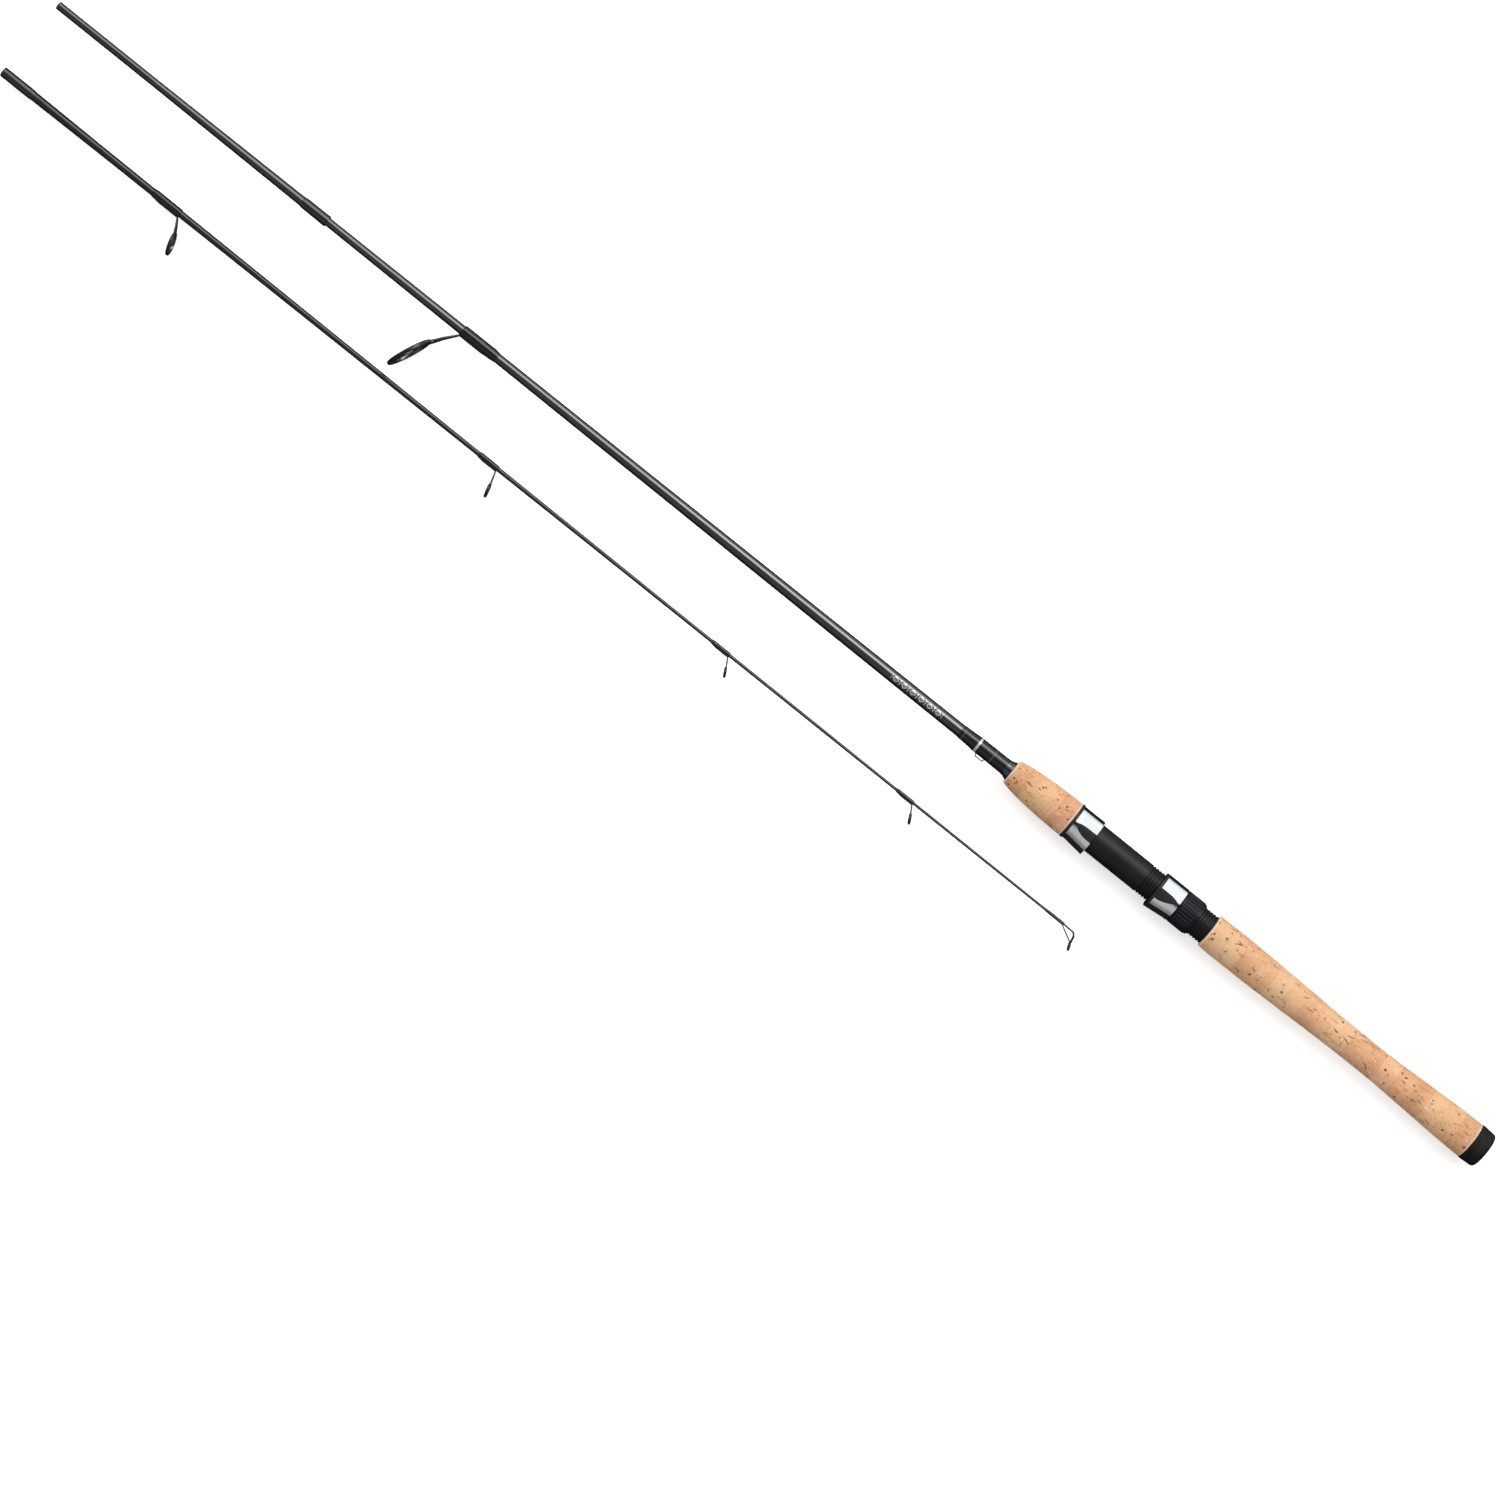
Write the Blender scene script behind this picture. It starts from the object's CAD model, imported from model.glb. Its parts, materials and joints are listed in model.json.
import json
import math

import bpy
import numpy as np
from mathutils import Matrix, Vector

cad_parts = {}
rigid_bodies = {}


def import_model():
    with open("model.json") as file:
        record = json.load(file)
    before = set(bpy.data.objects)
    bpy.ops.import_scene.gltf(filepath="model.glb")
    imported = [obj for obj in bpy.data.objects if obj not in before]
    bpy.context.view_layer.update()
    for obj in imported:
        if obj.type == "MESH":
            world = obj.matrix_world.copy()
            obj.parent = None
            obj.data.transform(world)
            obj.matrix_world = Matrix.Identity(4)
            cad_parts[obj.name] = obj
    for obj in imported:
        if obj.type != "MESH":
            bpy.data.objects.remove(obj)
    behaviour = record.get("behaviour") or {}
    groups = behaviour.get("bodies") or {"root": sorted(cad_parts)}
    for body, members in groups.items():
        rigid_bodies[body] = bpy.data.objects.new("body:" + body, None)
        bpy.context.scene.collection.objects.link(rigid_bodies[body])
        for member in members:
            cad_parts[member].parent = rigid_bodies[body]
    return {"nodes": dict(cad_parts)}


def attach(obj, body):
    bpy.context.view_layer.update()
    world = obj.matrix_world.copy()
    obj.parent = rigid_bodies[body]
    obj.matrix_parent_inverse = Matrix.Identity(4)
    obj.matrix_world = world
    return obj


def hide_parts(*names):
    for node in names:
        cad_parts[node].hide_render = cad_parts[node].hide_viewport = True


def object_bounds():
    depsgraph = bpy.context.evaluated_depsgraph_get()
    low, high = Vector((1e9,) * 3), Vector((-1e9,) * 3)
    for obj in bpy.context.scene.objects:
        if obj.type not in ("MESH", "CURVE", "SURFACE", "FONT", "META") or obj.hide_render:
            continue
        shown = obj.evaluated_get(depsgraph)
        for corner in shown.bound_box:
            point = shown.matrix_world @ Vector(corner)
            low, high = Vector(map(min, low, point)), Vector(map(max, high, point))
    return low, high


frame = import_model()
cad_lo, cad_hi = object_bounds()
NODES = frame["nodes"]
MM = 0.001


# ------------------------------------------------------------------ node helper

class Mat:
    """One Principled material with a small node tree; sockets are passed around as outputs or numbers."""

    def __init__(self, name, colour, rough=0.5, metal=0.0, **sockets):
        self.m = bpy.data.materials.new(name)
        self.m.use_nodes = True
        self.t = self.m.node_tree
        self.t.nodes.clear()
        out = self.t.nodes.new("ShaderNodeOutputMaterial")
        self.b = self.t.nodes.new("ShaderNodeBsdfPrincipled")
        self.t.links.new(self.b.outputs[0], out.inputs[0])
        self.set("Base Color", (*colour, 1.0))
        self.set("Roughness", rough)
        self.set("Metallic", metal)
        for k, v in sockets.items():
            self.set(k.replace("_", " "), v)
        self.m.diffuse_color = (*colour, 1.0)
        self._obj = None

    def put(self, socket, v):
        if isinstance(v, bpy.types.NodeSocket):
            self.t.links.new(v, socket)
        elif isinstance(v, (int, float)) and socket.type in ("RGBA", "VECTOR"):
            socket.default_value = (v, v, v, 1.0) if socket.type == "RGBA" else (v, v, v)
        else:
            socket.default_value = v

    def set(self, name, v):
        self.put(self.b.inputs[name], v)

    def node(self, kind, inputs=None, **props):
        n = self.t.nodes.new(kind)
        for k, v in props.items():
            setattr(n, k, v)
        for k, v in (inputs or {}).items():
            self.put(n.inputs[k], v)
        return n

    def obj(self):
        if self._obj is None:
            self._obj = self.node("ShaderNodeTexCoord").outputs["Object"]
        return self._obj

    def xyz(self, v=None):
        s = self.node("ShaderNodeSeparateXYZ", {0: v or self.obj()})
        return s.outputs[0], s.outputs[1], s.outputs[2]

    def math(self, op, a, b=0.0, c=0.0, clamp=False):
        n = self.t.nodes.new("ShaderNodeMath")
        n.operation = op
        n.use_clamp = clamp
        self.put(n.inputs[0], a)
        self.put(n.inputs[1], b)
        self.put(n.inputs[2], c)
        return n.outputs[0]

    def stretch(self, s, loc=(0, 0, 0)):
        return self.node("ShaderNodeMapping", {"Vector": self.obj(), "Scale": s, "Location": loc}).outputs[0]

    def noise(self, scale, detail=2.0, rough=0.5, vector=None, distortion=0.0):
        return self.node("ShaderNodeTexNoise", {"Vector": vector or self.obj(), "Scale": scale, "Detail": detail,
                                                "Roughness": rough, "Distortion": distortion}).outputs[0]

    def voronoi(self, scale, feature="F1", vector=None, randomness=1.0):
        n = self.node("ShaderNodeTexVoronoi", {"Vector": vector or self.obj(), "Scale": scale,
                                               "Randomness": randomness}, feature=feature)
        return n.outputs["Distance"]

    def attribute(self, name):
        return self.node("ShaderNodeAttribute", attribute_name=name).outputs["Fac"]

    def ramp(self, fac, stops, mode="LINEAR"):
        n = self.node("ShaderNodeValToRGB", {0: fac})
        e = n.color_ramp.elements
        n.color_ramp.interpolation = mode
        while len(e) < len(stops):
            e.new(0.5)
        for i, (p, c) in enumerate(stops):
            e[i].position = p
            e[i].color = (c, c, c, 1.0) if isinstance(c, (int, float)) else (*c, 1.0)
        return n.outputs[0]

    def mix(self, fac, a, b, kind="MIX"):
        n = self.t.nodes.new("ShaderNodeMix")
        n.data_type = "RGBA"
        n.blend_type = kind
        self.put(n.inputs[0], fac)
        for s, v in ((n.inputs[6], a), (n.inputs[7], b)):
            self.put(s, (*v, 1.0) if isinstance(v, tuple) and len(v) == 3 else v)
        return n.outputs[2]

    def bump(self, height, strength=0.3, distance=0.0002, normal=None):
        n = self.node("ShaderNodeBump", {"Height": height, "Strength": strength, "Distance": distance})
        if normal is not None:
            self.put(n.inputs["Normal"], normal)
        return n.outputs[0]


# ------------------------------------------------------------------ materials

def make_cork():
    m = Mat("cork", (0.83, 0.50, 0.26), 0.8)
    big = m.noise(55, 3, 0.55)
    tone = m.attribute("ring_tone")
    f = m.math("ADD", m.math("MULTIPLY", big, 0.62), m.math("MULTIPLY", tone, 0.38))
    base = m.ramp(f, [(0.22, (0.70, 0.375, 0.185)), (0.40, (0.82, 0.465, 0.245)), (0.55, (0.87, 0.53, 0.285)),
                      (0.72, (0.90, 0.60, 0.345))])
    pink = m.ramp(m.noise(34, 2, 0.5, m.stretch((1, 1, 1), (3.1, 0.7, 1.9))), [(0.52, 0.0), (0.68, 0.55)])
    base = m.mix(pink, base, (0.86, 0.455, 0.27))
    # fine grain of the bark
    grain = m.noise(620, 5, 0.7)
    base = m.mix(0.55, base, m.ramp(grain, [(0.3, 0.72), (0.62, 1.06)]), "MULTIPLY")
    # growth streaks along the rod
    streak = m.noise(1.0, 3, 0.6, m.stretch((95, 420, 420)), 0.4)
    s1 = m.ramp(streak, [(0.60, 0.0), (0.66, 0.75), (0.72, 0.25)])
    base = m.mix(s1, base, (0.50, 0.255, 0.11))
    pale = m.ramp(m.noise(1.0, 2, 0.5, m.stretch((140, 360, 360), (0.4, 0, 0.9))), [(0.63, 0.0), (0.72, 0.6)])
    base = m.mix(pale, base, (0.93, 0.70, 0.46))
    # speckles in clusters
    cl = m.ramp(m.noise(110, 2, 0.5, m.stretch((1, 1, 1), (0.2, 5.0, 0.3))), [(0.44, 0.0), (0.60, 1.0)])
    sp = m.ramp(m.voronoi(520), [(0.16, 1.0), (0.30, 0.0)])
    spk = m.math("MULTIPLY", cl, sp)
    base = m.mix(m.math("MULTIPLY", spk, 0.75), base, (0.33, 0.14, 0.05))
    # lenticels: open pits with dark walls
    pit = m.attribute("pit")
    base = m.mix(m.ramp(pit, [(0.05, 0.0), (0.45, 0.92)]), base, (0.215, 0.088, 0.032))
    base = m.mix(m.ramp(m.attribute("seam"), [(0.2, 0.0), (1.0, 0.5)]), base, (0.40, 0.20, 0.09))
    base = m.mix(m.ramp(m.attribute("rim"), [(0.15, 0.0), (0.8, 0.75)]), base, (1.0, 0.86, 0.62))
    base = m.mix(1.0, base, (0.845, 0.825, 0.85), "MULTIPLY")
    m.set("Base Color", base)
    m.set("Roughness", m.ramp(grain, [(0.3, 0.92), (0.7, 0.70)]))
    m.set("Specular IOR Level", 0.15)
    h = m.math("ADD", m.math("MULTIPLY", grain, 0.5), m.math("MULTIPLY", spk, -0.8))
    h = m.math("SUBTRACT", h, m.math("MULTIPLY", s1, 0.5))
    m.set("Normal", m.bump(h, 0.55, 0.00025))
    return m.m


def make_blank(name, decor=False, gloss=1.0):
    m = Mat(name, (0.003, 0.004, 0.005), 0.16, Coat_Weight=gloss, Coat_Roughness=0.045, Specular_IOR_Level=0.5 * gloss)
    x, y, z = m.xyz()
    ang = m.math("ARCTAN2", y, z)
    # graphite cloth under the lacquer: two crossed spiral sets, almost black on black
    a = m.math("SINE", m.math("ADD", m.math("MULTIPLY", x, 2600.0), m.math("MULTIPLY", ang, 9.0)))
    b = m.math("SINE", m.math("SUBTRACT", m.math("MULTIPLY", x, 2600.0), m.math("MULTIPLY", ang, 9.0)))
    w = m.math("MULTIPLY", a, b)
    col = m.ramp(m.math("MULTIPLY_ADD", w, 0.5, 0.5), [(0.0, (0.0020, 0.0026, 0.0034)), (1.0, (0.0042, 0.0062, 0.0078))])
    col = m.mix(m.ramp(m.noise(30, 2), [(0.4, 0.0), (0.7, 0.5)]), col, (0.003, 0.0055, 0.0068))
    rough = m.ramp(m.noise(260, 4, 0.65), [(0.35, 0.13), (0.75, 0.24)])
    if decor:
        # generic inlay where the real rod carries its printing: a row of long lozenges with a small bar between each
        u = m.math("DIVIDE", m.math("ADD", x, 0.47305), 0.02105)        # -1..1 over the band
        cell = m.math("SUBTRACT", m.math("FRACT", m.math("MULTIPLY", u, 3.0)), 0.5)
        v = m.math("ABSOLUTE", m.math("ADD", ang, 0.10))
        los = m.math("ADD", m.math("MULTIPLY", m.math("ABSOLUTE", cell), 1.25), v)
        shape = m.math("MULTIPLY", m.math("LESS_THAN", los, 0.50), m.math("GREATER_THAN", los, 0.27))
        core = m.math("LESS_THAN", los, 0.12)
        bars = m.math("MULTIPLY", m.math("GREATER_THAN", m.math("ABSOLUTE", cell), 0.455), m.math("LESS_THAN", v, 0.42))
        inside = m.math("LESS_THAN", m.math("ABSOLUTE", u), 1.0)
        top = m.math("GREATER_THAN", z, 0.0)
        mask = m.math("MULTIPLY", m.math("MULTIPLY", inside, top), m.math("MAXIMUM", m.math("MAXIMUM", shape, core), bars))
        wear = m.ramp(m.noise(900, 3, 0.6), [(0.30, 0.45), (0.55, 1.0)])
        mask = m.math("MULTIPLY", mask, wear)
        col = m.mix(mask, col, (0.50, 0.52, 0.54))
        m.set("Metallic", m.math("MULTIPLY", mask, 0.35))
    m.set("Base Color", col)
    m.set("Roughness", rough)
    m.set("Normal", m.bump(m.noise(150, 2, 0.4), 0.05, 0.0002))
    return m.m


def make_plastic(name, colour, rough, grain=1400, bump=0.25, tint=(0.03, 0.033, 0.040), coat=0.0, spec=0.5):
    m = Mat(name, colour, rough, Coat_Weight=coat, Coat_Roughness=0.1, Specular_IOR_Level=spec)
    n = m.noise(grain, 4, 0.6)
    worn = m.ramp(m.noise(70, 3, 0.6), [(0.45, 0.0), (0.75, 0.6)])
    m.set("Base Color", m.mix(worn, m.mix(m.ramp(n, [(0.3, 0.0), (0.7, 0.5)]), colour, tint), tint))
    m.set("Roughness", m.math("ADD", m.math("MULTIPLY", n, 0.18), rough - 0.09, clamp=True))
    m.set("Normal", m.bump(n, bump, 0.00012))
    return m.m


def make_rubber():
    m = Mat("cap_rubber", (0.008, 0.008, 0.008), 0.72, Specular_IOR_Level=0.16)
    n = m.noise(900, 5, 0.7)
    v = m.voronoi(1500)
    m.set("Base Color", m.ramp(m.noise(120, 3, 0.6), [(0.35, (0.0050, 0.0048, 0.0044)), (0.7, (0.0120, 0.0114, 0.0102))]))
    m.set("Roughness", m.ramp(n, [(0.3, 0.62), (0.7, 0.86)]))
    m.set("Normal", m.bump(m.math("ADD", n, m.math("MULTIPLY", v, 0.5)), 0.4, 0.00015))
    return m.m


def make_chrome():
    m = Mat("chrome", (0.78, 0.79, 0.80), 0.08, 1.0)
    fine = m.noise(1.0, 4, 0.65, m.stretch((900, 90, 90)))
    cloud = m.noise(160, 3, 0.6)
    m.set("Base Color", m.ramp(cloud, [(0.3, (0.86, 0.875, 0.885)), (0.7, (0.94, 0.945, 0.95))]))
    m.set("Roughness", m.math("ADD", m.math("MULTIPLY", fine, 0.08), m.ramp(cloud, [(0.4, 0.03), (0.75, 0.10)])))
    m.set("Normal", m.bump(fine, 0.06, 0.0001))
    return m.m


def make_thread(name="thread_wrap", tint=(0.006, 0.0065, 0.0075), pitch=0.00030, gloss=0.40):
    m = Mat(name, tint, 0.30, Coat_Weight=gloss, Coat_Roughness=0.20 - 0.15 * gloss, Specular_IOR_Level=0.25)
    x, y, z = m.xyz()
    s = m.math("SINE", m.math("MULTIPLY", x, 2 * math.pi / pitch))
    fib = m.noise(1.0, 3, 0.6, m.stretch((2600, 300, 300)))
    lines = m.math("MULTIPLY_ADD", s, 0.5, 0.5)
    m.set("Base Color", m.mix(m.math("MULTIPLY", lines, fib), (tint[0] * 0.45, tint[1] * 0.45, tint[2] * 0.5),
                              (tint[0] * 2.6, tint[1] * 2.7, tint[2] * 2.9)))
    m.set("Roughness", m.ramp(m.noise(420, 3), [(0.35, 0.16), (0.7, 0.34)]))
    m.set("Normal", m.bump(m.math("ADD", m.math("MULTIPLY", lines, 0.35), m.noise(210, 2)), 0.14, 0.00018))
    return m.m


def make_metal(name, colour, rough, dark=0.6, metal=1.0, scale=500):
    m = Mat(name, colour, rough, metal)
    n = m.noise(scale, 4, 0.6)
    m.set("Base Color", m.mix(m.ramp(n, [(0.35, 0.0), (0.7, 1.0)]), tuple(c * dark for c in colour), colour))
    m.set("Roughness", m.math("ADD", m.math("MULTIPLY", m.noise(1300, 3), 0.22), max(rough - 0.11, 0.0)))
    m.set("Normal", m.bump(m.noise(1.0, 3, 0.6, m.stretch((500, 2200, 2200))), 0.12, 0.0001))
    return m.m


def make_trim():
    """Metallic thread: the wide middle band is bright, the two narrow ones are smoke grey."""
    m = Mat("trim_thread", (0.7, 0.7, 0.7), 0.32, 0.3)
    x, y, z = m.xyz()
    lines = m.math("MULTIPLY_ADD", m.math("SINE", m.math("MULTIPLY", x, 2 * math.pi / 0.00026)), 0.5, 0.5)
    mid = m.math("COMPARE", x, -0.4220, 0.0030)
    n = m.noise(1400, 3, 0.6)
    bright = m.ramp(m.math("MULTIPLY", lines, n), [(0.1, (0.34, 0.345, 0.35)), (0.6, (0.86, 0.87, 0.88))])
    dull = m.ramp(m.math("MULTIPLY", lines, n), [(0.1, (0.018, 0.020, 0.022)), (0.6, (0.085, 0.088, 0.092))])
    m.set("Base Color", m.mix(mid, dull, bright))
    m.set("Metallic", m.math("MULTIPLY", mid, 0.35))
    m.set("Roughness", m.ramp(n, [(0.3, 0.26), (0.7, 0.42)]))
    m.set("Normal", m.bump(lines, 0.25, 0.0001))
    return m.m


def make_ceramic():
    m = Mat("ceramic", (0.012, 0.013, 0.014), 0.12, Coat_Weight=0.6, Coat_Roughness=0.03, Specular_IOR_Level=0.7)
    n = m.noise(700, 3)
    m.set("Base Color", m.ramp(n, [(0.3, (0.008, 0.009, 0.010)), (0.7, (0.022, 0.023, 0.026))]))
    m.set("Roughness", m.ramp(n, [(0.3, 0.08), (0.7, 0.18)]))
    m.set("Normal", m.bump(n, 0.05, 0.0001))
    return m.m


CORK = make_cork()
BLANK = make_blank("blank", gloss=0.9)
BLANK_TIP = make_blank("blank_tip", gloss=0.55)
BLANK_MARKED = make_blank("blank_marked", True)
RUBBER = make_rubber()
CHROME = make_chrome()
BARREL = make_plastic("seat_graphite", (0.007, 0.007, 0.0073), 0.46, 1100, 0.22, (0.014, 0.014, 0.015), spec=0.16)
LINER = make_plastic("hood_liner", (0.016, 0.016, 0.017), 0.44, 1300, 0.20, (0.030, 0.031, 0.033), spec=0.15)
NUT = make_plastic("lock_nut", (0.0045, 0.0052, 0.0075), 0.36, 1500, 0.15, (0.009, 0.011, 0.018), spec=0.14)
ARBOR = make_plastic("arbor_foam", (0.62, 0.56, 0.44), 0.9, 500, 0.6, (0.50, 0.44, 0.33))
CHECK = make_plastic("winding_check", (0.008, 0.011, 0.014), 0.18, 900, 0.05, (0.014, 0.022, 0.028), 0.8)
THREAD = make_thread()
THREAD_GLOSS = make_thread("thread_wrap_gloss", (0.006, 0.007, 0.008), 0.00030, 0.85)
TRIM = make_trim()
WIRE = make_metal("keeper_wire", (0.16, 0.163, 0.168), 0.30, 0.5)
FRAME = make_metal("guide_frame", (0.030, 0.031, 0.034), 0.30, 0.5, 0.6)
TIPTUBE = make_metal("tip_tube", (0.050, 0.052, 0.055), 0.30, 0.6, 0.7)
RING = make_ceramic()


# ------------------------------------------------------------------ mesh helper

def build(name, verts, faces, material, body, replaces=(), attributes=None, sharp=32.0):
    me = bpy.data.meshes.new(name)
    verts = np.asarray(verts, np.float64)
    faces = np.asarray(faces, np.int32)
    me.vertices.add(len(verts))
    me.vertices.foreach_set("co", (verts * MM).astype(np.float32).ravel())
    k = faces.shape[1]
    me.loops.add(faces.size)
    me.loops.foreach_set("vertex_index", faces.ravel())
    me.polygons.add(len(faces))
    me.polygons.foreach_set("loop_start", np.arange(0, faces.size, k, dtype=np.int32))
    me.update(calc_edges=True)
    me.polygons.foreach_set("use_smooth", np.ones(len(faces), bool))
    me.set_sharp_from_angle(angle=math.radians(sharp))
    for key, values in (attributes or {}).items():
        me.attributes.new(key, "FLOAT", "POINT").data.foreach_set("value", np.asarray(values, np.float32).ravel())
    me.materials.append(material)
    me.validate()
    o = bpy.data.objects.new(name, me)
    bpy.context.scene.collection.objects.link(o)
    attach(o, body)
    if replaces:
        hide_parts(*replaces)
    return o


def ring_faces(p, n):
    """Quads of a closed p-loop swept round n steps, outward when the outer side of the loop runs towards +X."""
    i, j = np.meshgrid(np.arange(p), np.arange(n), indexing="ij")
    a, b = (i * n + j), ((i + 1) % p * n + j)
    c, d = ((i + 1) % p * n + (j + 1) % n), (i * n + (j + 1) % n)
    return np.stack([a, b, c, d], -1).reshape(-1, 4)


def lathe(name, profile, n, material, body, replaces=(), shape=None, attributes=None, centre=(0, 0), sharp=32.0,
          angles=None):
    """profile: closed loop of (x, r) in mm. shape(x, th, r, k) may change r; attributes: name -> function(x, th, k)."""
    prof = np.asarray(profile, float)
    th = np.linspace(0, 2 * np.pi, n, endpoint=False) if angles is None else np.asarray(angles, float)
    n = len(th)
    x = np.repeat(prof[:, 0:1], n, 1)
    r = np.repeat(prof[:, 1:2], n, 1)
    t = np.repeat(th[None, :], len(prof), 0)
    k = np.repeat(np.arange(len(prof))[:, None], n, 1)
    if shape is not None:
        r = shape(x, t, r, k)
    # angle 0 is up (+Z), growing towards -Y, which is the guide side
    v = np.stack([x, centre[0] - r * np.sin(t), centre[1] + r * np.cos(t)], -1).reshape(-1, 3)
    at = {key: f(x, t, k) for key, f in (attributes or {}).items()}
    return build(name, v, ring_faces(len(prof), n), material, body, replaces, at, sharp)


# ------------------------------------------------------------------ cork grips

def cork_stack(name, stations, radius, bore, seed, node, n_th, per_ring, end_rim):
    """A glued stack of cork rings: fine seams, pits and channels cut into the surface. Stations run from the butt."""
    rng = np.random.default_rng(seed)
    outer, ring_of, seam_of = [], [], []
    for i, (a, b) in enumerate(zip(stations[:-1], stations[1:])):
        for s in np.linspace(0, 1, per_ring + 1)[(0 if i == 0 else 1):]:
            outer.append(a + (b - a) * s)
            ring_of.append(i)
            seam_of.append(1.0 if (s in (0.0, 1.0) and 0 < (i + s) < len(stations) - 1) else 0.0)
    d = np.array(outer)
    ring_of, seam_of = np.array(ring_of), np.array(seam_of)
    r = np.array([radius(q) for q in d])
    ends = [(d[0], r[0]), (d[-1], r[-1])]
    # soften the two outer edges
    r[0] -= 0.30
    r[-1] -= 0.30
    prof = [(-q, s) for q, s in zip(d, r)]
    p_out = len(prof)
    prof += [(-d[-1], bore(d[-1])), (-d[0], bore(d[0]))]
    tones = rng.random(len(stations))
    # pits: centre station, angle, half length along, half width around, depth
    pits = []
    for i, (a, b) in enumerate(zip(stations[:-1], stations[1:])):
        count = int(rng.integers(9, 19))
        for _ in range(count):
            c = rng.uniform(a + 0.8, b - 0.8)
            th = rng.uniform(0, 2 * np.pi)
            if rng.random() < 0.28:    # long channel
                hl, hw, dp = rng.uniform(1.4, 3.4), rng.uniform(0.28, 0.5), rng.uniform(0.12, 0.32)
            else:
                hl, hw, dp = rng.uniform(0.35, 1.0), rng.uniform(0.35, 0.9), rng.uniform(0.18, 0.55)
            pits.append((c, th, hl, hw, dp, rng.uniform(-0.5, 0.5)))
    pits = np.array(pits)
    phase = rng.uniform(0, 2 * np.pi, 12)
    field = {}

    def carve(x, t, rr, k):
        dd = -x
        depth = np.zeros_like(rr)
        out = k < p_out
        for c, th, hl, hw, dp, skew in pits:
            row = np.abs(d - c) < hl + 1.0
            idx = np.where(row)[0]
            if not len(idx):
                continue
            sub = np.ix_(idx, np.arange(x.shape[1]))
            da = dd[sub] - c
            dt = (t[sub] - th + np.pi) % (2 * np.pi) - np.pi
            ar = dt * rr[sub] + skew * da
            wob = 1 + 0.22 * np.sin(5 * np.arctan2(ar, da) + phase[int(c) % 12])
            q = np.sqrt((da / hl) ** 2 + (ar / hw) ** 2) / wob
            bowl = dp * np.clip(1.15 - q, 0, 1) ** 0.7
            depth[sub] = np.maximum(depth[sub], np.where(q < 1.15, bowl, 0))
        field["pit"] = np.where(out, np.clip(depth / 0.30, 0, 1), 0)
        wave = (0.035 * np.sin(3 * t + dd * 0.21 + phase[0]) + 0.03 * np.sin(7 * t - dd * 0.53 + phase[1])
                + 0.02 * np.sin(11 * t + dd * 1.1 + phase[2]))
        seam = np.zeros(len(rr))
        seam[:p_out] = seam_of
        field["seam"] = np.repeat(seam[:, None], x.shape[1], 1) * (0.55 + 0.45 * np.sin(4 * t + dd + phase[3]))
        new = rr - depth + wave - 0.07 * seam[:, None]
        keep = np.ones(len(rr), bool)
        keep[[0, p_out - 1]] = False
        return np.where(out & keep[:, None], new, rr)

    def rim(x, t, k):
        dd = -x
        w = np.maximum(np.exp(-((dd - d[0]) / 1.1) ** 2), np.exp(-((dd - d[-1]) / 1.1) ** 2))
        return np.where(k < p_out, w * end_rim, 0)

    def tone(x, t, k):
        v = np.ones(len(prof)) * 0.5
        v[:p_out] = tones[ring_of]
        return np.repeat(v[:, None], x.shape[1], 1)

    # profile runs towards -X on the outside, so the faces are turned round by reversing it
    rev = prof[::-1]
    m = len(rev)
    return lathe(name, rev, n_th, CORK, "butt_section", (node,),
                 shape=lambda x, t, rr, k: carve(x[::-1], t[::-1], rr[::-1], k)[::-1],
                 attributes={"pit": lambda x, t, k: field["pit"][::-1], "seam": lambda x, t, k: field["seam"][::-1],
                             "rim": lambda x, t, k: rim(x[::-1], t[::-1], k)[::-1],
                             "ring_tone": lambda x, t, k: tone(x[::-1], t[::-1], k)[::-1]}, sharp=60)


def ease(t):
    return math.sin(math.pi / 2 * min(max(t, 0.0), 1.0)) ** 2


def rear_r(d):
    if d < 100:
        return 10.35 + 2.55 * ease((100 - d) / 88.3)
    return 10.35 + 2.05 * ease((d - 100) / 114) - (0.35 * ((d - 214) / 15.5) ** 2 if d > 214 else 0)


def fore_r(d):
    return 8.35 + 4.35 * max(0.0, 1 - (max(d - 344.5, 0.0) / 50.0) ** 2) ** 0.62


def br(d):
    return 5.7 - 2.725 * d / 964.2


rear_st = [11.75 + i * (229.45 - 11.75) / 17 for i in range(18)]
cork_stack("rear_grip_cork", rear_st, rear_r, lambda d: br(d) + 0.05, 11, "rear_grip", 200, 27, 0.9)
fore_st = [344.55 + i * (394.45 - 344.55) / 4 for i in range(5)]
cork_stack("fore_grip_cork", fore_st, fore_r, lambda d: br(d) + 0.05, 29, "fore_grip", 240, 40, 0.9)


# ------------------------------------------------------------------ thread wraps over the guide feet

def lut(x, table):
    return np.interp(x, [p[0] for p in table], [p[1] for p in table])


def tip_r(m):
    return lut(m, [(0, 3.25), (32, 3.12), (82, 2.75), (210, 2.25), (390, 1.68), (536, 1.27), (686, 1.08), (870, 0.88),
                   (900, 0.86)])


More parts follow.
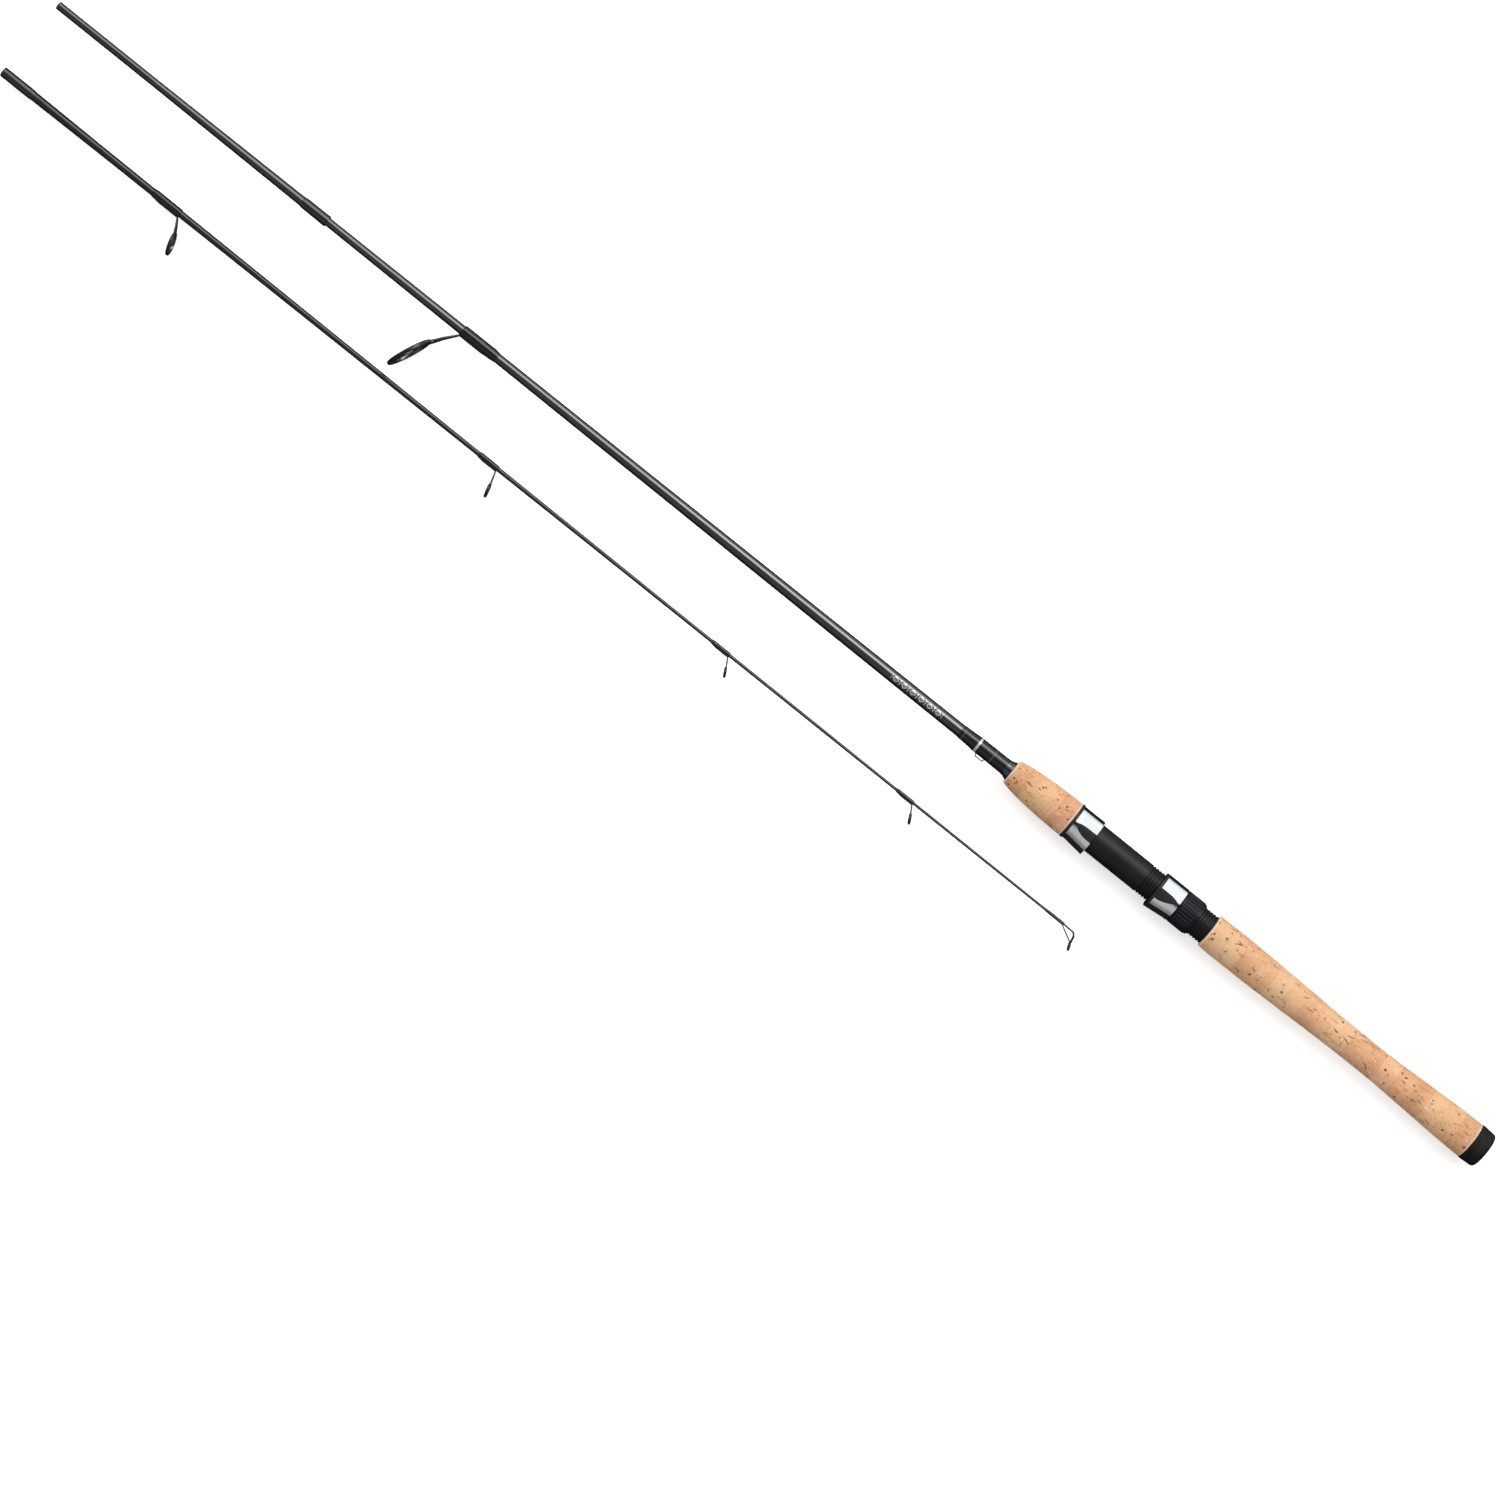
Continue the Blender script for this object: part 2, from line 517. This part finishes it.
def guide_wrap(node, body, root, turned_round, centre, blank, foot, width, thick, over, build_up, seed):
    """Thread laid over a guide's foot: round on the blank, drawn tight over the foot's corners, then lacquered.

    root: station of the guide's root in mm. Local u runs from the back of the wrap (negative) to the root (0)."""
    rng = np.random.default_rng(seed)
    back, front = foot + over, 0.5
    u = np.concatenate([np.linspace(-back, -back + 1.6, 9)[:-1], np.arange(-back + 1.6, front - 1.5, 0.24),
                        np.linspace(front - 1.5, front, 14)])
    n = 112
    th = np.linspace(0, 2 * np.pi, n, endpoint=False)          # from +Z towards -Y
    al = np.linspace(0, 2 * np.pi, 180, endpoint=False)
    wob = rng.uniform(0, 6.28, 3)
    rows = []
    for v in u:
        rb = blank(v)
        # lacquer builds up in the middle and thins out at both ends
        edge = min(1.0, max(0.0, (v + back) / 1.5)) ** 0.5 * min(1.0, max(0.0, (front - v) / 0.9)) ** 0.5
        full = build_up * min(1.0, max(0.25, (v + back) / (over * 0.8 + 0.1)))
        round_r = rb + 0.05 + full * edge
        t = thick * np.clip((v + foot) / (foot * 0.25), 0.0, 1.0) if v > -foot else 0.0
        drop = np.clip(1.0 - (v - 0.05) / 0.45, 0, 1)
        t = t * drop
        pts = [(rb + t, width / 2 * np.clip(t / thick + 0.15, 0, 1)), (rb + t, -width / 2 * np.clip(t / thick + 0.15, 0, 1))]
        h = np.full(al.shape, round_r)
        if t > 0:
            for down, side in pts:
                h = np.maximum(h, down * np.sin(al) + side * np.cos(al) + 0.10 + 0.80 * build_up * edge)
        d = al[None, :] - th[:, None]
        c = np.cos(d)
        r = np.where(c > 0.12, h[None, :] / np.maximum(c, 0.12), 1e9).min(1)
        r = r + 0.012 * edge * np.sin(v * 2 * np.pi / 0.96 + wob[0]) + 0.02 * edge * np.sin(2 * th + v * 0.4 + wob[1])
        rows.append(r)
    rows = np.array(rows)
    # angle pi/2 is -Y, the guide's side
    inner = np.array([[blank(v)] * n for v in (u[-1], u[0])])
    uu = np.concatenate([u, [u[-1], u[0]]])
    rr = np.concatenate([rows, inner])
    s = -1.0 if turned_round else 1.0
    x = np.repeat((-root + s * uu)[:, None], n, 1)
    t2 = np.repeat(th[None, :], len(uu), 0)
    v = np.stack([x, centre[0] - rr * np.sin(t2), centre[1] + rr * np.cos(t2)], -1).reshape(-1, 3)
    f = ring_faces(len(uu), n)
    if turned_round:
        f = f[:, ::-1]
    return build(node + "_lacquered", v, f, THREAD, body, (node,), None, 50)


TIP_C = (-55.95, -7.9)
guide_wrap("stripper_wrap", "butt_section", 851.5, True, (0, 0), lambda v: br(851.5 + v), 23, 2.0, 0.55, 5.5, 0.62, 3)
for i, (name, root, foot, width, thick, over, up) in enumerate((
        ("guide2_wrap", 1043.9, 20, 1.6, 0.5, 3, 0.42), ("guide3_wrap", 778.7, 14, 1.2, 0.42, 2, 0.42),
        ("guide4_wrap", 584.9, 13, 1.05, 0.4, 2, 0.40), ("guide5_wrap", 431.1, 12.5, 1.0, 0.38, 2, 0.40))):
    guide_wrap(name, "tip_section", root, False, TIP_C, lambda v, q=root: float(tip_r(1192 - q + v)), foot, width, thick,
               over, up, 5 + i)


# ------------------------------------------------------------------ finishes of the carried-over pieces

finish_of = {
    "butt_cap": RUBBER, "butt_blank": BLANK_MARKED, "seat_barrel": BARREL, "seat_arbors": ARBOR,
    "fixed_hood_shell": CHROME, "moving_hood_shell": CHROME, "fixed_hood_liner": LINER, "moving_hood_liner": LINER,
    "lock_nut": NUT, "winding_check": CHECK, "keeper_wrap": THREAD, "keeper_trim": TRIM, "hook_keeper": WIRE,
    "stripper_frame": FRAME, "stripper_ring": RING, "stripper_wrap": THREAD,
    "upper_blank": BLANK, "upper_ferrule_wrap": THREAD_GLOSS, "tip_blank": BLANK_TIP, "tip_ferrule_wrap": THREAD_GLOSS,
    "tip_top_tube": TIPTUBE, "tip_top_frame": TIPTUBE, "tip_top_ring": RING, "tip_top_wrap": THREAD,
}
for g in (2, 3, 4, 5):
    finish_of[f"guide{g}_frame"] = FRAME
    finish_of[f"guide{g}_ring"] = RING
    finish_of[f"guide{g}_wrap"] = THREAD
for name, o in NODES.items():
    if name.endswith("_wrap") and (name.startswith("guide") or name == "stripper_wrap"):
        continue
    m = finish_of.get(name)
    if m is None:
        continue
    if not o.material_slots:
        o.data.materials.append(m)
    for s in o.material_slots:
        s.material = m


# ------------------------------------------------------------------ floor, light, camera

def smooth(t, v, lo, hi):
    n = t.nodes.new("ShaderNodeMapRange")
    n.interpolation_type = "SMOOTHSTEP"
    t.links.new(v, n.inputs[0])
    for i, q in enumerate((lo, hi, 0.0, 1.0)):
        n.inputs[i + 1].default_value = q
    return n.outputs[0]


def calc(t, op, a, b):
    n = t.nodes.new("ShaderNodeMath")
    n.operation = op
    for i, q in enumerate((a, b)):
        if isinstance(q, (int, float)):
            n.inputs[i].default_value = q
        else:
            t.links.new(q, n.inputs[i])
    return n.outputs[0]


def floor():
    """White paper. Mirrors see it black near the rod and bright further out, as under the flags of a product set."""
    me = bpy.data.meshes.new("floor")
    s, z = 40.0, cad_lo.z - 0.0004
    me.from_pydata([(-s, -s, z), (s, -s, z), (s, s, z), (-s, s, z)], [], [(0, 1, 2, 3)])
    o = bpy.data.objects.new("floor", me)
    bpy.context.scene.collection.objects.link(o)
    m = bpy.data.materials.new("floor_paper")
    m.use_nodes = True
    t = m.node_tree
    t.nodes.clear()
    out = t.nodes.new("ShaderNodeOutputMaterial")
    mix = t.nodes.new("ShaderNodeMixShader")
    lp = t.nodes.new("ShaderNodeLightPath")
    pale = t.nodes.new("ShaderNodeBsdfDiffuse")
    # matt pieces get less light back from the paper than the camera does
    t.links.new(calc(t, "SUBTRACT", 0.94, calc(t, "MULTIPLY", lp.outputs["Is Diffuse Ray"], 0.54)), pale.inputs[0])
    seen = t.nodes.new("ShaderNodeEmission")
    seen.inputs[0].default_value = (1, 1, 1, 1)
    geo = t.nodes.new("ShaderNodeNewGeometry")
    sep = t.nodes.new("ShaderNodeSeparateXYZ")
    t.links.new(geo.outputs["Position"], sep.inputs[0])
    y = sep.outputs[1]
    up = calc(t, "MULTIPLY", smooth(t, y, FLAG_UP[0], FLAG_UP[1]), 0.85)
    down = calc(t, "MULTIPLY", smooth(t, calc(t, "MULTIPLY", y, -1.0), FLAG_DOWN[0], FLAG_DOWN[1]), 0.30)
    t.links.new(calc(t, "ADD", calc(t, "ADD", up, down), 0.012), seen.inputs[1])
    # the paper is lit from below a little, so that only a trace of shadow is left under the rod
    glow = t.nodes.new("ShaderNodeEmission")
    glow.inputs[0].default_value = (1, 1, 1, 1)
    t.links.new(calc(t, "MULTIPLY", lp.outputs["Is Camera Ray"], FLOOR_GLOW), glow.inputs[1])
    both = t.nodes.new("ShaderNodeAddShader")
    t.links.new(pale.outputs[0], both.inputs[0])
    t.links.new(glow.outputs[0], both.inputs[1])
    t.links.new(lp.outputs["Is Glossy Ray"], mix.inputs[0])
    t.links.new(both.outputs[0], mix.inputs[1])
    t.links.new(seen.outputs[0], mix.inputs[2])
    t.links.new(mix.outputs[0], out.inputs[0])
    m.cycles.emission_sampling = "NONE"
    me.materials.append(m)


FLOOR_GLOW = 0.40
FLAG_UP = (0.05, 0.11)
FLAG_DOWN = (0.6, 2.0)
floor()


def world():
    w = bpy.data.worlds.new("studio")
    bpy.context.scene.world = w
    w.use_nodes = True
    t = w.node_tree
    t.nodes.clear()
    out = t.nodes.new("ShaderNodeOutputWorld")
    mix = t.nodes.new("ShaderNodeMixShader")
    lp = t.nodes.new("ShaderNodeLightPath")
    soft = t.nodes.new("ShaderNodeBackground")
    soft.inputs[0].default_value = (1.0, 1.0, 1.0, 1)
    gl = t.nodes.new("ShaderNodeBackground")
    gl.inputs[0].default_value = (0.97, 0.985, 1.0, 1)
    tc = t.nodes.new("ShaderNodeTexCoord")
    sep = t.nodes.new("ShaderNodeSeparateXYZ")
    t.links.new(tc.outputs["Generated"], sep.inputs[0])
    y = sep.outputs[1]
    low = calc(t, "MULTIPLY", y, -1.0)
    up = calc(t, "MULTIPLY", smooth(t, y, 0.10, 0.20), 1.05)
    down = calc(t, "SUBTRACT", calc(t, "MULTIPLY", smooth(t, low, 0.10, 0.55), 0.46),
                calc(t, "MULTIPLY", smooth(t, low, 0.80, 1.0), 0.26))
    t.links.new(calc(t, "ADD", calc(t, "ADD", up, down), 0.01), gl.inputs[1])
    t.links.new(calc(t, "MULTIPLY", calc(t, "ADD", calc(t, "MULTIPLY", y, 0.42), 1.0), WORLD), soft.inputs[1])
    t.links.new(lp.outputs["Is Glossy Ray"], mix.inputs[0])
    t.links.new(soft.outputs[0], mix.inputs[1])
    t.links.new(gl.outputs[0], mix.inputs[2])
    # seen directly, past the floor's edge, it is as white as the floor
    seen = t.nodes.new("ShaderNodeBackground")
    seen.inputs[0].default_value = (1.0, 1.0, 1.0, 1)
    seen.inputs[1].default_value = 1.05
    last = t.nodes.new("ShaderNodeMixShader")
    t.links.new(lp.outputs["Is Camera Ray"], last.inputs[0])
    t.links.new(mix.outputs[0], last.inputs[1])
    t.links.new(seen.outputs[0], last.inputs[2])
    t.links.new(last.outputs[0], out.inputs[0])


WORLD = 0.80
world()


def softbox(name, tilt, dist, width, radiance, length=3.4, x=-0.55, y=-0.03, diffuse=True, glossy=True):
    """A long box lamp parallel to the rod, tilt degrees from straight up towards +Y, facing the rod."""
    a = math.radians(tilt)
    d = bpy.data.lights.new(name, "AREA")
    d.shape = "RECTANGLE"
    d.size, d.size_y = length, width
    d.energy = radiance * math.pi * length * width
    o = bpy.data.objects.new(name, d)
    bpy.context.scene.collection.objects.link(o)
    o.location = (x, y + dist * math.sin(a), dist * math.cos(a))
    o.rotation_euler = (-a, 0, 0)
    o.visible_camera = False
    o.visible_diffuse = diffuse
    o.visible_glossy = glossy
    return o


softbox("broad_key", 42, 1.6, 1.9, 1.0, glossy=False)
# Thin strips draw the line along the lacquered pieces, fading towards the far end. The bright metal is left out of
# their light, it would only blow out.
lit = bpy.data.collections.new("strip_lit")
bpy.context.scene.collection.children.link(lit)
for o in list(bpy.context.scene.objects):
    if o.type == "MESH" and not (o.material_slots and o.material_slots[0].material == CHROME):
        lit.objects.link(o)
STRIPS = ((0.9, -0.75, 6.2), (-0.75, -1.05, 4.8), (-1.05, -1.40, 3.8), (-1.40, -1.75, 3.0), (-1.75, -2.6, 2.4))
for i, (x0, x1, power) in enumerate(STRIPS):
    lamp = softbox(f"line_strip_{i}", 44, 1.5, 0.74, power, length=x0 - x1, x=(x0 + x1) / 2, diffuse=False)
    lamp.light_linking.receiver_collection = lit

DIST = 3.1
cam = bpy.data.cameras.new("camera")
cam.sensor_width = 36.0
cam.lens = 36.0 * DIST / 0.975
cam.clip_start, cam.clip_end = 0.1, 60.0
co = bpy.data.objects.new("camera", cam)
bpy.context.scene.collection.objects.link(co)
co.location = (-0.5356, -0.0956, DIST)
co.rotation_euler = (0.0, 0.0, math.radians(38.8))
bpy.context.scene.camera = co
bpy.context.scene.view_settings.view_transform = "Standard"
